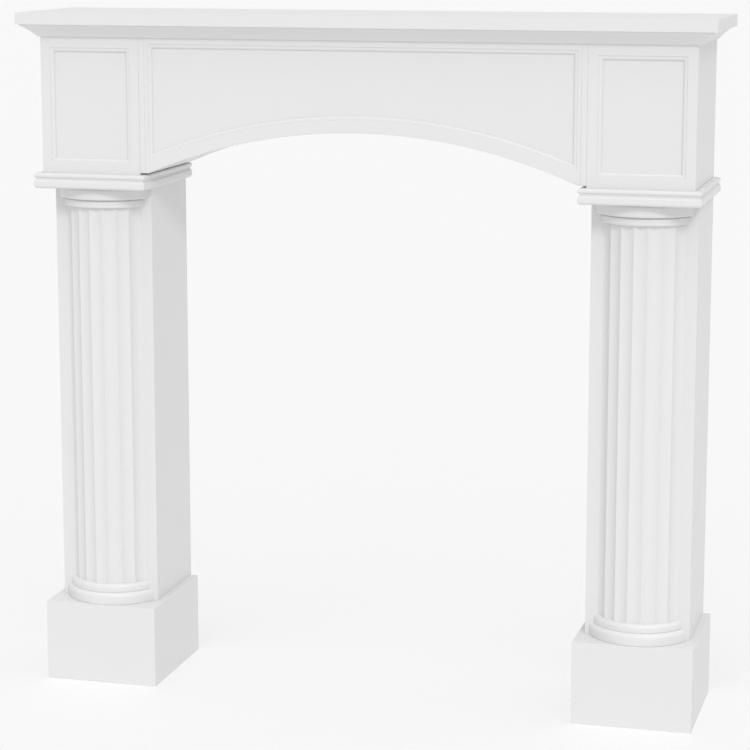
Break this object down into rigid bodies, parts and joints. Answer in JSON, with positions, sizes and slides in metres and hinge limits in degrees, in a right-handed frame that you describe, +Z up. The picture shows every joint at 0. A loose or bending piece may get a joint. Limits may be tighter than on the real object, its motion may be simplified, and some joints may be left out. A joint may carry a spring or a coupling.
{
  "type": "fireplace mantelpiece",
  "caption": "Painted fireplace surround: fluted half-column legs on plinths, moulded capitals, panelled blocks, an arched panelled header and a shelf over a cove moulding.",
  "frame": {"origin": "on the floor, under the middle of the shelf: centre of the bounding box's underside", "axes": "+X to the right along the shelf, +Y towards the wall behind, +Z up"},
  "size_m": [1.22, 0.266, 1.2095],
  "materials": {
    "satin_white_paint": "board and moulded strip under satin white paint"
  },
  "bodies": {
    "root": {"shelf": "satin_white_paint", "crown_front": "satin_white_paint", "crown_left": "satin_white_paint", "crown_right": "satin_white_paint", "header_frame": "satin_white_paint", "header_panel": "satin_white_paint", "header_panel_moulding": "satin_white_paint", "header_end_left": "satin_white_paint", "header_end_right": "satin_white_paint", "header_soffit": "satin_white_paint", "block_frame_left": "satin_white_paint", "block_panel_left": "satin_white_paint", "block_panel_moulding_left": "satin_white_paint", "block_outer_side_left": "satin_white_paint", "block_inner_side_left": "satin_white_paint", "block_frame_right": "satin_white_paint", "block_panel_right": "satin_white_paint", "block_panel_moulding_right": "satin_white_paint", "block_outer_side_right": "satin_white_paint", "block_inner_side_right": "satin_white_paint", "capital_board_left": "satin_white_paint", "capital_board_right": "satin_white_paint", "column_cap_left": "satin_white_paint", "column_shaft_left": "satin_white_paint", "column_base_left": "satin_white_paint", "column_cap_right": "satin_white_paint", "column_shaft_right": "satin_white_paint", "column_base_right": "satin_white_paint", "leg_front_left": "satin_white_paint", "leg_outer_side_left": "satin_white_paint", "leg_inner_side_left": "satin_white_paint", "leg_front_right": "satin_white_paint", "leg_outer_side_right": "satin_white_paint", "leg_inner_side_right": "satin_white_paint", "plinth_front_left": "satin_white_paint", "plinth_outer_side_left": "satin_white_paint", "plinth_inner_side_left": "satin_white_paint", "plinth_top_left": "satin_white_paint", "plinth_front_right": "satin_white_paint", "plinth_outer_side_right": "satin_white_paint", "plinth_inner_side_right": "satin_white_paint", "plinth_top_right": "satin_white_paint"}
  },
  "joints": []
}
